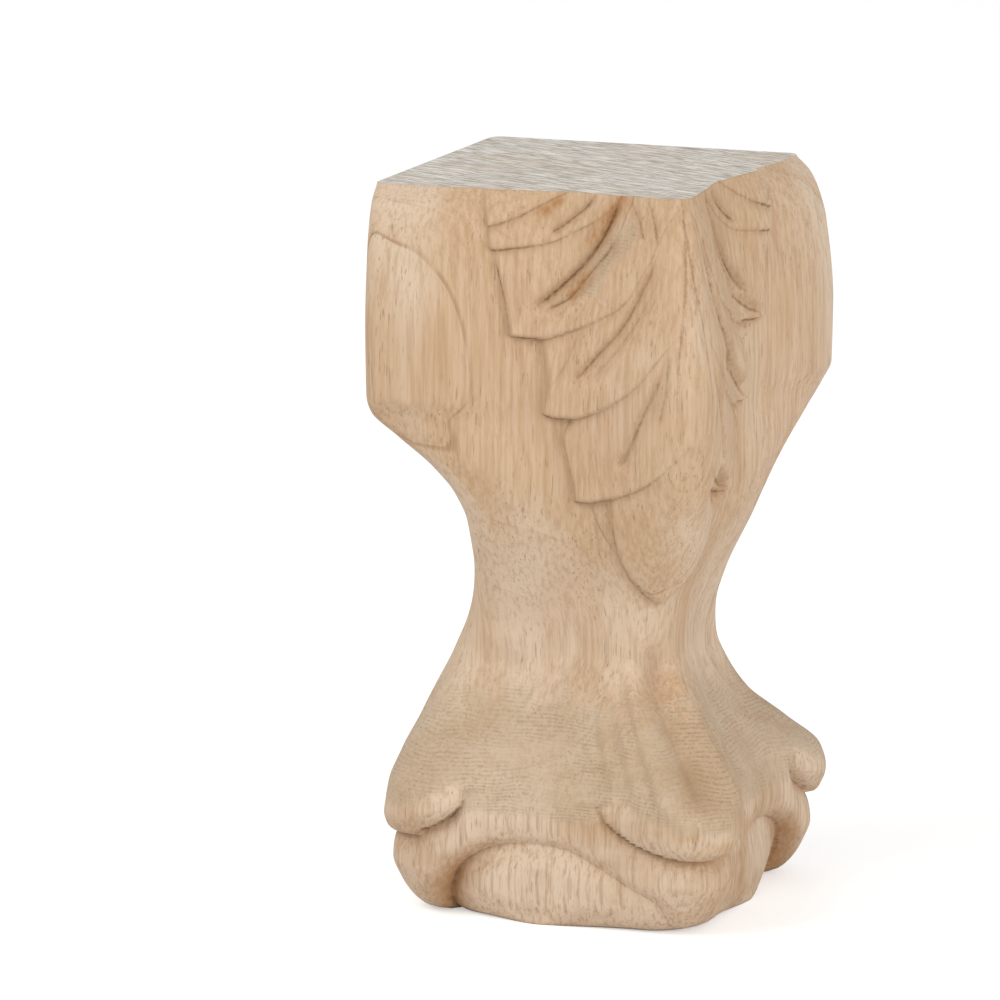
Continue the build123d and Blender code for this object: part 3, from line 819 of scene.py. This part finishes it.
def wood():
    """Raw rubberwood: broad tones, growth rings, fibres, pores, tool marks, scorched wood, and painted shade
    in the hollows and along the cut lines.
    """
    material = bpy.data.materials.new("raw_rubberwood")
    material.use_nodes = True
    web = Web(material.node_tree)
    mm = web.millimetres()
    parts = web.add("ShaderNodeSeparateXYZ", {0: mm}).outputs
    x, height = parts["X"], parts["Z"]

    colour = broad_tones(web, mm)
    band, ring_line = growth_rings(web, mm, x, height)
    colour = web.tint(band, colour, WARM)
    colour = web.tint(web.product(ring_line, RING_DARKNESS), colour, LINE)

    mottle = web.noise(mm, MOTTLE)
    low_down = web.fade(height, *MOTTLE_BY_HEIGHT)
    colour = web.tint(web.product(web.fade(mottle, *MOTTLE_DARK_LEVELS), low_down), colour, LINE)
    colour = web.tint(web.product(web.fade(mottle, *MOTTLE_PALE_LEVELS), low_down), colour, PALE)
    streak = web.noise(mm, STREAKS)
    streaky = web.fade(height, *STREAK_BY_HEIGHT)
    colour = web.tint(web.product(web.fade(streak, *STREAK_DARK_LEVELS), streaky), colour, LINE)
    colour = web.tint(web.fade(streak, *STREAK_PALE_LEVELS), colour, PALE)
    fibre = web.noise(mm, FIBRES)
    colour = web.tint(web.fade(fibre, *FIBRE_LEVELS), colour, DUSK)
    crowd = web.fade(web.noise(mm, PORE_CROWDS), *PORE_CROWD_LEVELS)
    pore = web.product(web.fade(web.noise(mm, PORES), *PORE_LEVELS), crowd)
    colour = web.tint(web.product(pore, PORE_DARKNESS), colour, PORE)

    skirt, tooled, tool_darkness = tool_marks(web, mm, height)
    colour = web.tint(web.product(skirt, SKIRT_DARKNESS), colour, TOOLED)
    colour = web.tint(web.product(tooled, tool_darkness), colour, LINE)
    colour = web.tint(web.product(web.mark("shade"), SHADE_DARKNESS), colour, DUSK)
    # Scorched patches on the leaf, and brown shade painted in the foot's recesses, crease and hollow
    uneven = web.fade(web.noise(mm, SCORCH_AND_SHADE_GRAIN), *SCORCH_AND_SHADE_LEVELS)
    colour = web.tint(web.product(web.mark("scorch_and_shade"), uneven, SCORCH_AND_SHADE_DARKNESS), colour, SCORCH_AND_SHADE)
    # Thin lines of painted shade in the cuts
    shaded_cuts = cut_lines(web, mm)
    colour = web.tint(web.product(shaded_cuts, CUT_DARKNESS), colour, CUT_SHADE_COLOUR)

    relief = web.product(fibre, FIBRE_HEIGHT)
    sunk = ((pore, PORE_DEPTH), (tooled, TOOL_DEPTH), (shaded_cuts, CUT_DEPTH), (ring_line, RING_DEPTH))
    for share, depth in sunk:
        relief = web.math("SUBTRACT", relief, web.product(share, depth))
    web.surface(colour, web.fade(streak, *WOOD_ROUGHNESS), relief, WOOD_RELIEF)
    return material


def sawn_top():
    """End grain left by a saw: pale and grey streaks across the top."""
    material = bpy.data.materials.new("sawn_end_grain")
    material.use_nodes = True
    web = Web(material.node_tree)
    mm = web.millimetres()
    turned = web.mapped(mm, (1.0, 1.0, 1.0), turn=SAW_ANGLE)
    streak = web.noise(turned, SAW_STREAKS)
    scratch = web.noise(turned, SAW_SCRATCHES)
    colour = web.tint(web.fade(streak, *SAW_STREAK_LEVELS), SAWN_PALE, SAWN_DARK)
    colour = web.tint(web.fade(scratch, *SAW_SCRATCH_DARK_LEVELS), colour, SAW_MARK)
    colour = web.tint(web.fade(scratch, *SAW_SCRATCH_PALE_LEVELS), colour, SAWN_PALE)
    colour = web.tint(web.fade(web.noise(mm, SAW_WARMTH), *SAW_WARMTH_LEVELS), colour, WARM)
    colour = web.tint(web.fade(web.noise(mm, SAW_SPECKS), *SAW_SPECK_LEVELS), colour, PORE)
    streak_height = web.product(streak, SAW_STREAK_HEIGHT)
    relief = web.math("ADD", streak_height, web.product(scratch, SAW_SCRATCH_HEIGHT))
    web.surface(colour, web.fade(streak, *SAW_ROUGHNESS), relief, SAW_RELIEF)
    return material


def build_leg():
    """The carved leg as one mesh: the left half, the mirrored right half, and flat ends."""
    stretch, share = columns()
    z = rows()
    zz = np.repeat(z[:, None], len(stretch), axis=1)
    left_x, left_y, left_marks = carve(stretch, share, z, zz, True)
    right_x, right_y, right_marks = carve(stretch, share, z, zz, False)

    def whole(left, right):
        return np.concatenate([left, right[:, -2:0:-1]], axis=1)

    px, py, pz = whole(left_x, -right_y), whole(left_y, -right_x), whole(zz, zz)
    drawn = np.stack([px, py, pz - DRAWN_FLOOR], axis=-1).reshape(-1, 3)
    points = (drawn * SCALE + np.array(AXIS)) * MM
    index = np.arange(px.size).reshape(px.shape)
    beside = np.roll(index, -1, axis=1)
    quads = np.stack([index[:-1], beside[:-1], beside[1:], index[1:]], axis=-1).reshape(-1, 4)
    top, bottom = index[-1].tolist(), index[0][::-1].tolist()
    mesh = bpy.data.meshes.new("carved_leg_wood")
    mesh.from_pydata(points.tolist(), [], quads.tolist() + [top, bottom])
    mesh.update()
    mesh.polygons.foreach_set("use_smooth", [True] * len(quads) + [False, False])
    for name in left_marks:
        attribute = mesh.attributes.new(name, "FLOAT", "POINT")
        values = whole(left_marks[name], right_marks[name])
        attribute.data.foreach_set("value", values.astype(np.float32).ravel())
    piece = bpy.data.objects.new("carved_leg_wood", mesh)
    bpy.context.scene.collection.objects.link(piece)
    mesh.materials.append(wood())
    mesh.materials.append(sawn_top())
    mesh.polygons[len(quads)].material_index = 1
    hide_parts("carved_leg")
    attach(piece, "root")


build_leg()

# Camera at the photograph's angle, aimed beside the middle of the leg
AZIMUTH = math.radians(20.91)
ELEVATION = math.radians(11.5)
DISTANCE = 1200.0
AIM_HEIGHT = 60.0
SLIDE_RIGHT = -14.87
SLIDE_UP = 4.1
LENS = 258.6
CLIP_END = 10000.0
toward = Vector((
    math.sin(AZIMUTH) * math.cos(ELEVATION), -math.cos(AZIMUTH) * math.cos(ELEVATION), math.sin(ELEVATION)
))
right = Vector((math.cos(AZIMUTH), math.sin(AZIMUTH), 0.0))
up = toward.cross(right)
camera = bpy.data.objects.new("camera", bpy.data.cameras.new("camera"))
camera.data.lens = LENS
camera.data.clip_end = CLIP_END * MM
aim = Vector((0, 0, AIM_HEIGHT - DRAWN_FLOOR))
spot = AXIS + (aim + toward * DISTANCE + right * SLIDE_RIGHT + up * SLIDE_UP) * SCALE
turn = Matrix((right, up, toward)).transposed().to_4x4()
camera.matrix_world = Matrix.Translation(spot * MM) @ turn
bpy.context.scene.collection.objects.link(camera)
bpy.context.scene.camera = camera

# Floor: white to the camera where no shadow falls on it
FLOOR_HALF = 3000.0
FLOOR_WHITE = (0.84, 0.84, 0.84, 1)
FLOOR_LIFT = 0.46
floor_mesh = bpy.data.meshes.new("floor")
half = FLOOR_HALF * MM
corners = [(-half, -half, 0), (half, -half, 0), (half, half, 0), (-half, half, 0)]
floor_mesh.from_pydata(corners, [], [(0, 1, 2, 3)])
floor = bpy.data.objects.new("floor", floor_mesh)
bpy.context.scene.collection.objects.link(floor)
floor_material = bpy.data.materials.new("floor")
floor_material.use_nodes = True
web = Web(floor_material.node_tree)
seen = web.add("ShaderNodeLightPath", {}).outputs["Is Camera Ray"]
matt = web.add("ShaderNodeBsdfDiffuse", {"Color": FLOOR_WHITE})
lift = web.add("ShaderNodeEmission", {"Strength": web.product(seen, FLOOR_LIFT)})
both = web.add("ShaderNodeAddShader", {0: matt.outputs[0], 1: lift.outputs[0]})
web.add("ShaderNodeOutputMaterial", {"Surface": both.outputs[0]})
floor_mesh.materials.append(floor_material)

# Light: an even white room, a soft key lamp from the front left and a soft fill lamp from the right
ROOM_LIGHT = 0.58
LAMP_SIZE = 700.0
KEY_PLACE = (-550.0, -750.0, 850.0)
KEY_WATTS = 5.0
FILL_PLACE = (800.0, -480.0, 180.0)
FILL_WATTS = 4.5
world = bpy.data.worlds.new("studio")
bpy.context.scene.world = world
world.use_nodes = True
web = Web(world.node_tree)
seen = web.add("ShaderNodeLightPath", {}).outputs["Is Camera Ray"]
strength = web.math("MAXIMUM", seen, ROOM_LIGHT)
room = web.add("ShaderNodeBackground", {"Color": (1, 1, 1, 1), "Strength": strength})
web.add("ShaderNodeOutputWorld", {"Surface": room.outputs[0]})


def lamp(name, place, watts):
    """A square lamp that faces the middle of the leg."""
    light = bpy.data.lights.new(name, "AREA")
    light.energy = watts
    light.size = LAMP_SIZE * MM
    lamp_object = bpy.data.objects.new(name, light)
    lamp_object.location = Vector(place) * MM
    to_leg = Vector((0, 0, LEG_HEIGHT / 2)) - Vector(place)
    lamp_object.rotation_euler = to_leg.to_track_quat("-Z", "Y").to_euler()
    bpy.context.scene.collection.objects.link(lamp_object)


lamp("key", KEY_PLACE, KEY_WATTS)
lamp("fill", FILL_PLACE, FILL_WATTS)
bpy.context.scene.view_settings.view_transform = "Standard"
